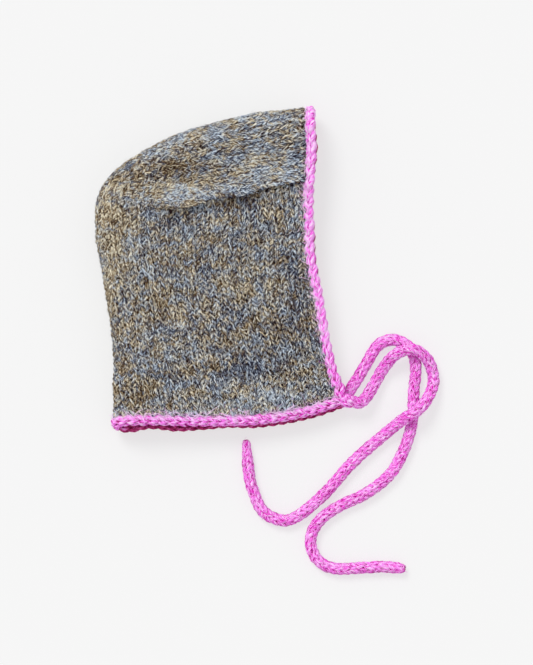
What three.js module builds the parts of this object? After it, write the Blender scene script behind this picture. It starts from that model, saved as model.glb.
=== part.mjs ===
// A hand-knitted baby bonnet, laid on its side and folded flat along the middle of the head.
// The near half lies on the far half, with the back fold at low X, the face opening at high X,
// the neck at low Y and the crown at high Y. Millimetres, +Z up, resting on Z = 0.
import * as THREE from "three";

// Driving sizes.
const bonnetDepth = 126; // from the back fold to the front lower corner, edging included
const bonnetHeight = 162.5; // from the neck edging to the top of the crown
const wallThickness = 3; // one layer of double-knitting stocking stitch
const edgingDiameter = 5.8; // knitted cord round the face and the neck
const tieDiameter = 5.7; // knitted cord of the two ties
const pieceGap = 0.35; // clearance between neighbouring pieces
const foldReach = 12; // how far in from the fold the knit takes to turn over
const ridgeHeight = 1.6; // the raised join between the crown band and the side
const ridgeReach = 3.6; // half width of that join
const liftReach = 14; // how far in the thicker edging holds the lower layer off the surface
const cornerLap = 3; // how far the neck edging runs on under the end of the face edging

// How thick the two folded layers are together, at the four corners of the outline.
const loft = { neckBack: 18, neckFront: 10.5, crownBack: 27, crownFront: 22 };

// Plan outlines. deep is a share of bonnetDepth from the back, high a share of bonnetHeight from
// the neck. The fold runs from the neck up the back and over the crown to the face opening.
const foldOutline = [
  { deep: 0.071, high: 0.058 },
  { deep: 0.071, high: 0.148 },
  { deep: 0.071, high: 0.24 },
  { deep: 0.064, high: 0.317 },
  { deep: 0.044, high: 0.409 },
  { deep: 0.024, high: 0.502 },
  { deep: 0.008, high: 0.579 },
  { deep: 0.001, high: 0.64 },
  { deep: 0.004, high: 0.702 },
  { deep: 0.018, high: 0.745 },
  { deep: 0.044, high: 0.779 },
  { deep: 0.083, high: 0.809 },
  { deep: 0.135, high: 0.842 },
  { deep: 0.194, high: 0.871 },
  { deep: 0.27, high: 0.901 },
  { deep: 0.369, high: 0.932 },
  { deep: 0.508, high: 0.963 },
  { deep: 0.675, high: 0.991 },
  { deep: 0.825, high: 1.0 },
];

// The knit's own front edge, from the lower corner up to the fold at the top.
const faceEdge = [
  { deep: 0.944, high: 0.111 },
  { deep: 0.929, high: 0.151 },
  { deep: 0.913, high: 0.194 },
  { deep: 0.899, high: 0.24 },
  { deep: 0.885, high: 0.292 },
  { deep: 0.873, high: 0.348 },
  { deep: 0.861, high: 0.409 },
  { deep: 0.845, high: 0.471 },
  { deep: 0.831, high: 0.52 },
  { deep: 0.823, high: 0.569 },
  { deep: 0.823, high: 0.631 },
  { deep: 0.819, high: 0.686 },
  { deep: 0.821, high: 0.748 },
  { deep: 0.825, high: 0.809 },
  { deep: 0.831, high: 0.871 },
  { deep: 0.827, high: 0.932 },
];

// The knit's neck edge, between the front corner and the back fold.
const neckEdge = [
  { deep: 0.893, high: 0.097 },
  { deep: 0.814, high: 0.08 },
  { deep: 0.734, high: 0.068 },
  { deep: 0.615, high: 0.058 },
  { deep: 0.417, high: 0.055 },
  { deep: 0.218, high: 0.058 },
];

// Where the crown band meets the side, between the face edge and the back fold. The side's
// columns turn into the band's behind the pivot, and are joined to its edge in front of it.
const crownJoin = [
  { deep: 0.694, high: 0.731 },
  { deep: 0.556, high: 0.711 },
  { deep: 0.417, high: 0.691 },
  { deep: 0.298, high: 0.677 },
  { deep: 0.151, high: 0.686 },
];
const joinOnFace = 0.725; // share of the face edge below the join
const joinOnFold = 0.462; // share of the fold below the start of the band
const pivotOnJoin = 0.644; // share of the join in front of the pivot
const fanEase = 1.5; // how much closer the band's rows lie at the pivot than at the face

// The far half has slipped a little past the near one. along is a share of each edge.
const neckSlip = [
  { along: 0, slip: 0.8 },
  { along: 0.2, slip: 0.8 },
  { along: 0.35, slip: 1.0 },
  { along: 0.5, slip: 0.3 },
  { along: 0.6, slip: 1.3 },
  { along: 0.71, slip: 2.3 },
  { along: 0.83, slip: 1.2 },
  { along: 0.95, slip: 3.4 },
  { along: 1, slip: 3.2 },
];
const faceSlip = [
  { along: 0, slip: 0 },
  { along: 0.25, slip: -0.6 },
  { along: 0.55, slip: 0.6 },
  { along: 0.7, slip: -0.5 },
  { along: 0.87, slip: 0.7 },
  { along: 1, slip: 0 },
];

// Broad hollows and swellings of the upper layer; reach is a share of bonnetDepth.
const softDents = [
  { deep: 0.5, high: 0.4, reach: 0.3, depth: 1.6 },
  { deep: 0.62, high: 0.82, reach: 0.16, depth: 1.5 },
  { deep: 0.25, high: 0.62, reach: 0.14, depth: -0.9 },
  { deep: 0.72, high: 0.62, reach: 0.13, depth: 1.1 },
  { deep: 0.3, high: 0.2, reach: 0.16, depth: -0.8 },
  { deep: 0.72, high: 0.22, reach: 0.12, depth: 0.9 },
];

// Routes of the ties from the front lower corner. lift is the height of the cord's middle above
// the surface, as a share of its diameter; the near tie passes over the far one twice.
const nearTieRoute = [
  { deep: 1.050, high: 0.102, lift: 1.4 },
  { deep: 1.087, high: 0.131, lift: 0.9 },
  { deep: 1.139, high: 0.194, lift: 0.62 },
  { deep: 1.175, high: 0.232, lift: 1.2 },
  { deep: 1.210, high: 0.252, lift: 1.6 },
  { deep: 1.258, high: 0.260, lift: 1.68 },
  { deep: 1.294, high: 0.248, lift: 1.4 },
  { deep: 1.329, high: 0.215, lift: 0.85 },
  { deep: 1.345, high: 0.163, lift: 0.56 },
  { deep: 1.327, high: 0.120, lift: 1. },
  { deep: 1.286, high: 0.077, lift: 1.62 },
  { deep: 1.250, high: 0.057, lift: 1.66 },
  { deep: 1.202, high: 0.032, lift: 1.15 },
  { deep: 1.155, high: 0.000, lift: 0.62 },
  { deep: 1.075, high: -0.052, lift: 0.5 },
  { deep: 0.992, high: -0.114, lift: 0.5 },
  { deep: 0.925, high: -0.175, lift: 0.5 },
  { deep: 0.845, high: -0.232, lift: 0.5 },
  { deep: 0.798, high: -0.258, lift: 0.5 },
  { deep: 0.754, high: -0.269, lift: 0.5 },
  { deep: 0.702, high: -0.260, lift: 0.5 },
  { deep: 0.663, high: -0.237, lift: 0.5 },
  { deep: 0.631, high: -0.188, lift: 0.5 },
  { deep: 0.611, high: -0.132, lift: 0.5 },
  { deep: 0.605, high: -0.083, lift: 0.5 },
  { deep: 0.599, high: -0.022, lift: 0.5 },
];
const farTieRoute = [
  { deep: 1.036, high: 0.138, lift: 0.5 },
  { deep: 1.056, high: 0.166, lift: 0.5 },
  { deep: 1.091, high: 0.225, lift: 0.5 },
  { deep: 1.123, high: 0.271, lift: 0.5 },
  { deep: 1.171, high: 0.289, lift: 0.5 },
  { deep: 1.218, high: 0.282, lift: 0.5 },
  { deep: 1.258, high: 0.255, lift: 0.5 },
  { deep: 1.274, high: 0.206, lift: 0.5 },
  { deep: 1.266, high: 0.132, lift: 0.5 },
  { deep: 1.260, high: 0.040, lift: 0.5 },
  { deep: 1.234, high: -0.037, lift: 0.5 },
  { deep: 1.194, high: -0.102, lift: 0.5 },
  { deep: 1.147, high: -0.145, lift: 0.5 },
  { deep: 1.063, high: -0.191, lift: 0.5 },
  { deep: 0.988, high: -0.217, lift: 0.5 },
  { deep: 0.942, high: -0.237, lift: 0.5 },
  { deep: 0.905, high: -0.258, lift: 0.5 },
  { deep: 0.877, high: -0.283, lift: 0.5 },
  { deep: 0.859, high: -0.311, lift: 0.5 },
  { deep: 0.857, high: -0.348, lift: 0.5 },
  { deep: 0.875, high: -0.382, lift: 0.5 },
  { deep: 0.913, high: -0.408, lift: 0.5 },
  { deep: 0.972, high: -0.418, lift: 0.5 },
  { deep: 1.071, high: -0.414, lift: 0.5 },
  { deep: 1.151, high: -0.412, lift: 0.5 },
  { deep: 1.230, high: -0.418, lift: 0.5 },
];

// How finely the surfaces are cut up.
const wrapRows = 24;
const bandRows = 22;
const sideSteps = 9;
const bandSideSteps = 4;
const foldSteps = 7;
const cordSides = 10;
const edgingSteps = 64;
const tieSteps = 40;

const up = new THREE.Vector3(0, 0, 1);

function spot(row, lift = 0) {
  return new THREE.Vector3(row.deep * bonnetDepth, row.high * bonnetHeight + lift, 0);
}

function smoothCurve(points) {
  const curve = new THREE.CatmullRomCurve3(points, false, "centripetal");
  curve.arcLengthDivisions = 400;
  return curve;
}

// The stretch of a curve between two shares of its length, read from start to end.
function stretch(curve, start, end) {
  return (share) => curve.getPointAt(THREE.MathUtils.clamp(start + (end - start) * share, 0, 1));
}

const foldCurve = smoothCurve(foldOutline.map((row) => spot(row)));
const faceCurve = smoothCurve([...faceEdge.map((row) => spot(row)), foldCurve.getPoint(1)]);
const neckCurve = smoothCurve([
  faceCurve.getPoint(0), ...neckEdge.map((row) => spot(row)), foldCurve.getPoint(0),
]);

// The join seen from the side, or lifted by the clearance for the band's own edge.
function joinCurve(lift) {
  const onFace = faceCurve.getPointAt(joinOnFace + lift / faceCurve.getLength());
  const onFold = foldCurve.getPointAt(joinOnFold + lift / foldCurve.getLength());
  return smoothCurve([onFace, ...crownJoin.map((row) => spot(row, lift)), onFold]);
}

const sideJoin = joinCurve(0);
const bandJoin = joinCurve(pieceGap);
const bandJoinLift = pieceGap / faceCurve.getLength();
const bandFoldLift = pieceGap / foldCurve.getLength();

// A patch that fills four meeting boundaries. across runs 0 to 1 from edge to fold, along 0 to 1
// from start to end.
function patch(startLine, endLine, edgeLine, foldLine) {
  const corners = [startLine(0), startLine(1), endLine(0), endLine(1)];
  return (across, along) => {
    const point = new THREE.Vector3();
    point.addScaledVector(startLine(across), 1 - along).addScaledVector(endLine(across), along);
    point.addScaledVector(edgeLine(along), 1 - across).addScaledVector(foldLine(along), across);
    point.addScaledVector(corners[0], -(1 - across) * (1 - along));
    point.addScaledVector(corners[1], -across * (1 - along));
    point.addScaledVector(corners[2], -(1 - across) * along);
    point.addScaledVector(corners[3], -across * along);
    return point;
  };
}

const sidePlan = patch(
  stretch(neckCurve, 0, 1), stretch(sideJoin, 0, 1),
  stretch(faceCurve, 0, joinOnFace), stretch(foldCurve, 0, joinOnFold),
);
const bandEdge = stretch(bandJoin, pivotOnJoin, 0);
const bandPlan = patch(
  stretch(bandJoin, pivotOnJoin, 1), stretch(faceCurve, joinOnFace + bandJoinLift, 1),
  (along) => bandEdge(along ** fanEase), stretch(foldCurve, joinOnFold + bandFoldLift, 1),
);

function nearestDistance(samples, point) {
  return Math.min(...samples.map((sample) => Math.hypot(sample.x - point.x, sample.y - point.y)));
}

const openEdges = [...faceCurve.getSpacedPoints(90), ...neckCurve.getSpacedPoints(70)];
const joinSamples = sideJoin.getSpacedPoints(90).slice(0, Math.round(90 * pivotOnJoin) + 1);

function readTable(table, column, along) {
  const next = Math.max(1, table.findIndex((row) => row.along >= along));
  const [low, high] = [table[next - 1], table[next]];
  const share = THREE.MathUtils.smoothstep(along, low.along, high.along);
  return THREE.MathUtils.lerp(low[column], high[column], share);
}

// Total thickness of the folded bonnet above a place in plan.
function loftAt(point) {
  const [deep, high] = [point.x / bonnetDepth, point.y / bonnetHeight];
  const neck = THREE.MathUtils.lerp(loft.neckBack, loft.neckFront, deep);
  const crown = THREE.MathUtils.lerp(loft.crownBack, loft.crownFront, deep);
  const toJoin = nearestDistance(joinSamples, point) / ridgeReach;
  let thickness = THREE.MathUtils.lerp(neck, crown, high) + ridgeHeight * Math.exp(-toJoin * toJoin);
  for (const dent of softDents) {
    const away = Math.hypot(point.x - dent.deep * bonnetDepth, point.y - dent.high * bonnetHeight);
    thickness -= dent.depth * Math.exp(-((away / (dent.reach * bonnetDepth)) ** 2));
  }
  return thickness;
}

// Height of the lower layer's underside: the thicker edging holds it up along the open edges.
function undersideAt(point) {
  const toEdge = Math.min(1, nearestDistance(openEdges, point) / liftReach);
  return ((edgingDiameter - wallThickness) / 2) * (1 - THREE.MathUtils.smoothstep(toEdge, 0, 1));
}

// One line of the outer surface, from the near edge over the fold to the far edge.
function ribPoints(plan, along, ribLength, steps, slipAt) {
  const stations = [];
  const flat = ribLength - foldReach;
  for (let k = 0; k < steps; k++) {
    stations.push({ in: foldReach + flat * (1 - k / steps), turn: 0 });
  }
  for (let k = 0; k <= foldSteps; k++) {
    const angle = (Math.PI / 2) * (k / foldSteps);
    stations.push({ in: foldReach * (1 - Math.sin(angle)), turn: angle });
  }
  const mirrored = stations.slice(0, -1).reverse();
  const whole = [...stations, ...mirrored.map((one) => ({ in: one.in, turn: Math.PI - one.turn }))];
  return whole.map((station) => {
    const across = 1 - station.in / ribLength;
    const point = plan(across, along);
    const half = loftAt(point) / 2;
    const under = undersideAt(point);
    const farShare = (1 - Math.cos(station.turn)) / 2;
    point.z = half + half * Math.cos(station.turn) + under * farShare;
    return point.addScaledVector(slipAt(across, along), farShare);
  });
}

function sideSlip(across, along) {
  const fromFace = (1 - across) ** 2;
  const fromNeck = (1 - along) ** 2;
  const face = readTable(faceSlip, "slip", along * joinOnFace);
  return new THREE.Vector3(face * fromFace, -readTable(neckSlip, "slip", across) * fromNeck, 0);
}

function bandSlip(across, along) {
  const onFace = joinOnFace + (1 - joinOnFace) * across;
  const atJoin = readTable(faceSlip, "slip", joinOnFace) * (1 - across) ** 2;
  const atFace = readTable(faceSlip, "slip", onFace);
  return new THREE.Vector3(THREE.MathUtils.lerp(atJoin, atFace, along) * along ** 2, 0, 0);
}

// Unit normals of a grid of points, pointing away from the hollow.
function gridNormals(grid) {
  return grid.map((line, i) => line.map((_, j) => {
    const before = grid[Math.max(i - 1, 0)][j];
    const after = grid[Math.min(i + 1, grid.length - 1)][j];
    const alongLine = line[Math.min(j + 1, line.length - 1)].clone().sub(line[Math.max(j - 1, 0)]);
    return alongLine.cross(after.clone().sub(before)).normalize().negate();
  }));
}

// Turns the normals along the join into planes square to the height, so that the two pieces are
// thickened side by side and their clearance stays even.
function squareToJoin(points, normals) {
  points.forEach((_, k) => {
    const before = points[Math.max(k - 1, 0)];
    const tangent = points[Math.min(k + 1, points.length - 1)].clone().sub(before);
    const square = new THREE.Vector3(0, 1, 0).cross(tangent).normalize();
    const sign = square.dot(normals[k]) < 0 ? -1 : 1;
    normals[k].copy(square.multiplyScalar(sign));
  });
}

// A wall between an outer grid and its inward offset, closed round all four borders.
function wallFrom(outer, joinedLines) {
  const normals = gridNormals(outer);
  for (const pick of joinedLines) {
    squareToJoin(pick(outer), pick(normals));
  }
  const offset = (depth) => outer.map((line, i) =>
    line.map((point, j) => point.clone().addScaledVector(normals[i][j], -depth)));
  const inner = offset(wallThickness);
  const [rows, columns] = [outer.length, outer[0].length];
  const positions = [...outer.flat(), ...inner.flat()].flatMap((point) => point.toArray());
  const at = (side, i, j) => side * rows * columns + i * columns + j;
  const index = [];
  const quad = (a, b, c, d) => index.push(a, b, c, a, c, d);
  for (let i = 0; i < rows - 1; i++) {
    for (let j = 0; j < columns - 1; j++) {
      quad(at(0, i, j), at(0, i + 1, j), at(0, i + 1, j + 1), at(0, i, j + 1));
      quad(at(1, i, j), at(1, i, j + 1), at(1, i + 1, j + 1), at(1, i + 1, j));
    }
  }
  for (let j = 0; j < columns - 1; j++) {
    quad(at(0, 0, j), at(0, 0, j + 1), at(1, 0, j + 1), at(1, 0, j));
    quad(at(0, rows - 1, j + 1), at(0, rows - 1, j), at(1, rows - 1, j), at(1, rows - 1, j + 1));
  }
  for (let i = 0; i < rows - 1; i++) {
    quad(at(0, i + 1, 0), at(0, i, 0), at(1, i, 0), at(1, i + 1, 0));
    quad(at(0, i, columns - 1), at(0, i + 1, columns - 1), at(1, i + 1, columns - 1),
      at(1, i, columns - 1));
  }
  const geometry = new THREE.BufferGeometry();
  geometry.setAttribute("position", new THREE.Float32BufferAttribute(positions, 3));
  geometry.setIndex(index);
  geometry.computeVertexNormals();
  return { geometry, middle: offset(wallThickness / 2) };
}

function sideWrap() {
  const lines = [];
  const [neckLength, joinLength] = [neckCurve.getLength(), sideJoin.getLength()];
  for (let i = 0; i <= wrapRows; i++) {
    const along = i / wrapRows;
    const ribLength = THREE.MathUtils.lerp(neckLength, joinLength, along);
    lines.push(ribPoints(sidePlan, along, ribLength, sideSteps, sideSlip));
  }
  return wallFrom(lines, [(grid) => grid[wrapRows]]);
}

function crownBand() {
  const lines = [];
  const startLength = bandJoin.getLength() * (1 - pivotOnJoin);
  const endLength = faceCurve.getLength() * (1 - joinOnFace - bandJoinLift);
  for (let i = 0; i <= bandRows; i++) {
    const along = i / bandRows;
    const ribLength = THREE.MathUtils.lerp(startLength, endLength, along);
    lines.push(ribPoints(bandPlan, along, ribLength, bandSideSteps, bandSlip));
  }
  const nearSide = (grid) => grid.map((line) => line[0]);
  const farSide = (grid) => grid.map((line) => line[line.length - 1]);
  return wallFrom(lines, [nearSide, farSide, (grid) => grid[0]]);
}

// Moves a line of points off the knit's edge to the middle of the cord that binds it.
function edgingLine(edge, outward) {
  return edge.map((point, i) => {
    const tangent = edge[Math.min(i + 1, edge.length - 1)].clone()
      .sub(edge[Math.max(i - 1, 0)]).normalize();
    const away = outward.clone().addScaledVector(tangent, -outward.dot(tangent)).normalize();
    return point.clone().addScaledVector(away, edgingDiameter / 2 + pieceGap);
  });
}

function cord(points, diameter, steps) {
  const section = new THREE.Shape();
  section.absarc(0, 0, diameter / 2, 0, 2 * Math.PI);
  return new THREE.ExtrudeGeometry(section, {
    steps, bevelEnabled: false, curveSegments: cordSides / 2, extrudePath: smoothCurve(points),
  });
}

function extended(line, length) {
  const reach = (end, inside) => end.clone().addScaledVector(end.clone().sub(inside).setZ(0)
    .normalize(), length);
  return [reach(line[0], line[1]), ...line, reach(line[line.length - 1], line[line.length - 2])];
}

function material(color, roughness) {
  return new THREE.MeshStandardMaterial({ color, roughness, metalness: 0 });
}

const heatherWool = material(0x7d7568, 0.95);
const pinkWool = material(0xe273d6, 0.9);

function piece(name, geometry, finish) {
  const mesh = new THREE.Mesh(geometry, finish);
  mesh.name = name;
  return mesh;
}

const wrap = sideWrap();
const band = crownBand();

// The face edging runs up the near front edge, over the fold at the crown and down the far one.
const nearFace = wrap.middle.map((line) => line[0]);
const farFace = wrap.middle.map((line) => line[line.length - 1]).reverse();
const bandFace = band.middle[band.middle.length - 1];
const faceLine = edgingLine([...nearFace, ...bandFace.slice(1, -1), ...farFace],
  new THREE.Vector3(1, 0, 0));
const neckLine = extended(edgingLine(wrap.middle[0], new THREE.Vector3(0, -1, 0)), cornerLap);

// Each tie leaves in line with its own end of the neck edging, just clear of it.
function tieLine(route, end, inside, straight) {
  const onward = end.clone().sub(inside).setZ(0).normalize();
  const leaving = [pieceGap, straight].map((step) =>
    end.clone().addScaledVector(onward, step));
  const rest = route.map((row) => spot(row).setZ(row.lift * tieDiameter));
  return [...leaving, ...rest];
}

const bonnet = new THREE.Group();
bonnet.add(
  piece("side_back_wrap", wrap.geometry, heatherWool),
  piece("crown_band", band.geometry, heatherWool),
  piece("face_edging", cord(faceLine, edgingDiameter, edgingSteps), pinkWool),
  piece("neck_edging", cord(neckLine, edgingDiameter, edgingSteps), pinkWool),
);

const nearTieLine = tieLine(nearTieRoute, neckLine[0], neckLine[1], tieDiameter * 0.45);
const farTieLine = tieLine(farTieRoute, neckLine.at(-1), neckLine.at(-2), tieDiameter * 0.8);
const ties = new THREE.Group();
ties.add(
  piece("tie_near", cord(nearTieLine, tieDiameter, tieSteps), pinkWool),
  piece("tie_far", cord(farTieLine, tieDiameter, tieSteps), pinkWool),
);

// The origin is on the surface, under the middle of the bonnet without its ties.
const extent = new THREE.Box3().setFromObject(bonnet, true);
const middle = extent.getCenter(new THREE.Vector3());
const part = new THREE.Group();
part.add(bonnet, ties);
part.position.set(-middle.x, -middle.y, -extent.min.z);

export default part;
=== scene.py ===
import math

import bpy
import numpy as np
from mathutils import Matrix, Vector


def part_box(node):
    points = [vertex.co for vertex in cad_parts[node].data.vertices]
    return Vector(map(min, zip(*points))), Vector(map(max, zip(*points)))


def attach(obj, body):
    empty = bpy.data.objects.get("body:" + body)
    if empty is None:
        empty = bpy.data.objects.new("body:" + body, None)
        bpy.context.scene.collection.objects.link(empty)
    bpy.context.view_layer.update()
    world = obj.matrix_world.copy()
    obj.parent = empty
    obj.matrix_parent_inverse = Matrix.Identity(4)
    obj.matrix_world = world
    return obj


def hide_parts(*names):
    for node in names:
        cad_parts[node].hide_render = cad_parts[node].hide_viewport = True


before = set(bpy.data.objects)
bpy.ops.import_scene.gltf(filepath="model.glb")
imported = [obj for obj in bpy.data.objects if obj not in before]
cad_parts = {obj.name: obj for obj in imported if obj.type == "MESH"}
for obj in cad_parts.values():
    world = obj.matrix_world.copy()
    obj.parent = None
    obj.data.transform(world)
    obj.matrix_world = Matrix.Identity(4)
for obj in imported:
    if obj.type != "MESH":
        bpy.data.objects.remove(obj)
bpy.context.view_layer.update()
print("bonnet: frame loaded")

mm = 0.001
for leftOver in ("Cube", "Light", "Camera"):
    if leftOver in bpy.data.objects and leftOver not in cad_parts:
        bpy.data.objects.remove(bpy.data.objects[leftOver])


# the folded form, in millimetres, with the back of the head at x 0 and the neck at y 0
form = {
    "deep": 126.0,  # back fold to the front lower corner
    "high": 162.5,  # neck edging to the top of the crown
    "wall": 3.0,  # one knitted layer
    "edging": 5.8,  # thickness of the face and neck cord
    "tie": 5.7,  # thickness of the ties
    "gap": 0.35,
    "foldReach": 12.0,  # how far in from the fold the knit takes to turn over
    "ridge": 1.6,  # raised join of the crown band
    "ridgeReach": 3.6,
    "liftReach": 14.0,  # how far in from an open edge the lower layer is lifted by its cord
    "cornerLap": 3.0,  # how far the neck edging runs on at the front corner
    "loft": (18.0, 10.5, 27.0, 22.0),  # neck back, neck front, crown back, crown front
    "joinOnFace": 0.745,  # where the crown join meets the face edge, as a share of it
    "joinOnFold": 0.465,  # and where it meets the back fold
    "joinRise": [2.8, 3.9, 3.2, 2.3, 2.3],  # how far the wool of the side swells up over the join
    "pivotOnJoin": 0.644,  # where on the join the rows of the crown turn
    "fanEase": 1.7,  # rows of the crown band lie closer at the pivot
    "clear": 0.02,  # above the surface that it all lies on
}
# deep and high, as shares of the form
foldOutline = [
    (0.071, 0.058), (0.071, 0.148), (0.071, 0.24), (0.064, 0.317), (0.044, 0.409),
    (0.024, 0.502), (0.008, 0.579), (0.001, 0.64), (0.004, 0.702), (0.018, 0.745),
    (0.044, 0.779), (0.083, 0.809), (0.135, 0.842), (0.194, 0.871), (0.27, 0.901),
    (0.369, 0.932), (0.508, 0.963), (0.675, 0.991), (0.825, 1.0),
]
faceEdge = [
    (0.944, 0.111), (0.929, 0.151), (0.913, 0.194), (0.899, 0.24), (0.885, 0.292),
    (0.873, 0.348), (0.861, 0.409), (0.845, 0.471), (0.831, 0.52), (0.823, 0.569),
    (0.823, 0.631), (0.819, 0.686), (0.821, 0.748), (0.825, 0.809), (0.831, 0.871),
    (0.827, 0.932),
]
neckEdge = [
    (0.893, 0.097), (0.814, 0.08), (0.734, 0.068), (0.615, 0.058), (0.417, 0.055),
    (0.218, 0.058),
]
crownJoin = [(0.694, 0.731), (0.556, 0.711), (0.417, 0.691), (0.298, 0.677), (0.151, 0.686)]
# share of the edge, and how far the far layer slips past the near one there, mm
neckSlip = [
    (0, 0.8), (0.2, 0.8), (0.35, 1.0), (0.5, 0.3), (0.6, 1.3), (0.71, 2.3), (0.83, 1.2),
    (0.95, 3.4), (1, 3.2),
]
faceSlip = [(0, 0), (0.25, -0.6), (0.55, 0.6), (0.7, -0.5), (0.87, 0.7), (1, 0)]
# deep, high, reach and how far the cloth sinks, mm
softDents = [
    (0.5, 0.4, 0.3, 1.6), (0.62, 0.82, 0.16, 1.5), (0.25, 0.62, 0.14, -0.9),
    (0.72, 0.62, 0.13, 1.1), (0.3, 0.2, 0.16, -0.8), (0.72, 0.22, 0.12, 0.9),
]
# deep, high and the height of the cord's middle in cord thicknesses, left out where it lies flat
nearTieRoute = [
    (1.05, 0.102, 1.4), (1.087, 0.131, 0.9), (1.139, 0.194, 0.62), (1.175, 0.232, 1.2),
    (1.21, 0.252, 1.6), (1.258, 0.26, 1.68), (1.294, 0.248, 1.4), (1.329, 0.215, 0.85),
    (1.345, 0.163, 0.56), (1.327, 0.12, 1.0), (1.286, 0.077, 1.62), (1.25, 0.057, 1.66),
    (1.202, 0.032, 1.15), (1.155, 0.0, 0.62), (1.075, -0.052), (0.992, -0.114),
    (0.925, -0.175), (0.845, -0.232), (0.798, -0.258), (0.754, -0.269),
    (0.702, -0.26), (0.663, -0.237), (0.631, -0.188), (0.611, -0.132),
    (0.605, -0.083), (0.599, -0.022),
]
farTieRoute = [
    (1.036, 0.138), (1.056, 0.166), (1.091, 0.225), (1.123, 0.271),
    (1.171, 0.289), (1.218, 0.282), (1.258, 0.255), (1.274, 0.206),
    (1.266, 0.132), (1.26, 0.04), (1.234, -0.037), (1.194, -0.102),
    (1.147, -0.145), (1.063, -0.191), (0.988, -0.217), (0.942, -0.237),
    (0.905, -0.258), (0.877, -0.283), (0.859, -0.311), (0.857, -0.348),
    (0.875, -0.382), (0.913, -0.408), (0.972, -0.418), (1.071, -0.414),
    (1.151, -0.412), (1.23, -0.418),
]


def unit(v):
    return v / np.maximum(np.linalg.norm(v, axis=-1, keepdims=True), 1e-12)


def runOf(points):
    return np.concatenate([[0], np.cumsum(np.linalg.norm(np.diff(points, axis=0), axis=1))])


def between(want, run, table):
    return np.stack([np.interp(want, run, table[:, k]) for k in range(3)], -1)


def shares(points):
    return points[..., 0] / form["deep"], points[..., 1] / form["high"]


def ease(x, low, high):
    t = np.clip((x - low) / (high - low), 0, 1)
    return t * t * (3 - 2 * t)


def spots(rows, lift=0.0):
    return [(row[0] * form["deep"], row[1] * form["high"] + lift, 0.0) for row in rows]


class SmoothLine:
    # a smooth curve through points, read by share of its length
    def __init__(self, points, fineness=48):
        p = np.array(points, float)
        p = np.vstack([2 * p[0] - p[1], p, 2 * p[-1] - p[-2]])
        t = np.linspace(0, 1, fineness, endpoint=False)[:, None]
        pieces = []
        for a, b, c, d in zip(p[:-3], p[1:-2], p[2:-1], p[3:]):
            ab, bc, cd = (max(np.sum((q - r) ** 2), 1e-12) ** 0.25
                          for q, r in ((a, b), (b, c), (c, d)))
            leave = ((b - a) / ab - (c - a) / (ab + bc) + (c - b) / bc) * bc
            arrive = ((c - b) / bc - (d - b) / (bc + cd) + (d - c) / cd) * bc
            pieces.append(b + leave * t + (3 * (c - b) - 2 * leave - arrive) * t**2
                          + (2 * (b - c) + leave + arrive) * t**3)
        self.points = np.vstack(pieces + [p[-2:-1]])
        self.run = runOf(self.points)
        self.length = self.run[-1]

    def at(self, share):
        return between(np.clip(share, 0, 1) * self.length, self.run, self.points)


def stretch(line, start, end):
    return lambda share: line.at(start + (end - start) * np.asarray(share, float))


foldLine = SmoothLine(spots(foldOutline))
faceLine = SmoothLine(spots(faceEdge) + [tuple(foldLine.points[-1])])
neckLine = SmoothLine([tuple(faceLine.points[0])] + spots(neckEdge) + [tuple(foldLine.points[0])])


def joinLine(lift):
    onFace = faceLine.at(form["joinOnFace"] + lift / faceLine.length)
    onFold = foldLine.at(form["joinOnFold"] + lift / foldLine.length)
    raised = [(x, y + rise / form["high"]) for (x, y), rise in zip(crownJoin, form["joinRise"])]
    return SmoothLine([tuple(onFace)] + spots(raised, lift) + [tuple(onFold)])


sideJoin = joinLine(0.0)
bandJoin = joinLine(form["gap"])


def patch(startLine, endLine, edgeLine, foldedLine):
    corners = [startLine(0.0), startLine(1.0), endLine(0.0), endLine(1.0)]

    def plan(across, along):
        a, b = across[..., None], along[..., None]
        return (startLine(across) * (1 - b) + endLine(across) * b
                + edgeLine(along) * (1 - a) + foldedLine(along) * a
                - corners[0] * (1 - a) * (1 - b) - corners[1] * a * (1 - b)
                - corners[2] * (1 - a) * b - corners[3] * a * b)

    return plan


sidePlan = patch(stretch(neckLine, 0, 1), stretch(sideJoin, 0, 1),
                 stretch(faceLine, 0, form["joinOnFace"]), stretch(foldLine, 0, form["joinOnFold"]))
bandEdge = stretch(bandJoin, form["pivotOnJoin"], 0)
bandOnFace = form["joinOnFace"] + form["gap"] / faceLine.length
bandPlan = patch(stretch(bandJoin, form["pivotOnJoin"], 1), stretch(faceLine, bandOnFace, 1),
                 lambda share: bandEdge(np.asarray(share, float) ** form["fanEase"]),
                 stretch(foldLine, form["joinOnFold"] + form["gap"] / foldLine.length, 1))


def nearest(samples, points):
    away = points[..., None, :2] - samples[:, :2]
    return np.sqrt((away**2).sum(-1)).min(-1)


openEdges = np.vstack([faceLine.at(np.linspace(0, 1, 91)), neckLine.at(np.linspace(0, 1, 71))])
joinSamples = sideJoin.at(np.linspace(0, form["pivotOnJoin"], 60))


def easedTable(table, along):
    x, y = np.array(table, float).T
    k = np.clip(np.searchsorted(x, along), 1, len(x) - 1)
    return y[k - 1] + (y[k] - y[k - 1]) * ease(along, x[k - 1], x[k])


def loftAt(points):
    deep, high = shares(points)
    neckBack, neckFront, crownBack, crownFront = form["loft"]
    neck = neckBack + (neckFront - neckBack) * deep
    crown = crownBack + (crownFront - crownBack) * deep
    toJoin = nearest(joinSamples, points) / form["ridgeReach"]
    thick = neck + (crown - neck) * high + form["ridge"] * np.exp(-toJoin**2)
    for dentDeep, dentHigh, reach, depth in softDents:
        away = np.hypot(points[..., 0] - dentDeep * form["deep"],
                        points[..., 1] - dentHigh * form["high"])
        thick = thick - depth * np.exp(-((away / (reach * form["deep"])) ** 2))
    return thick


def undersideAt(points):
    raised = 1 - ease(nearest(openEdges, points), 0, form["liftReach"])
    return (form["edging"] - form["wall"]) / 2 * raised


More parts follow.
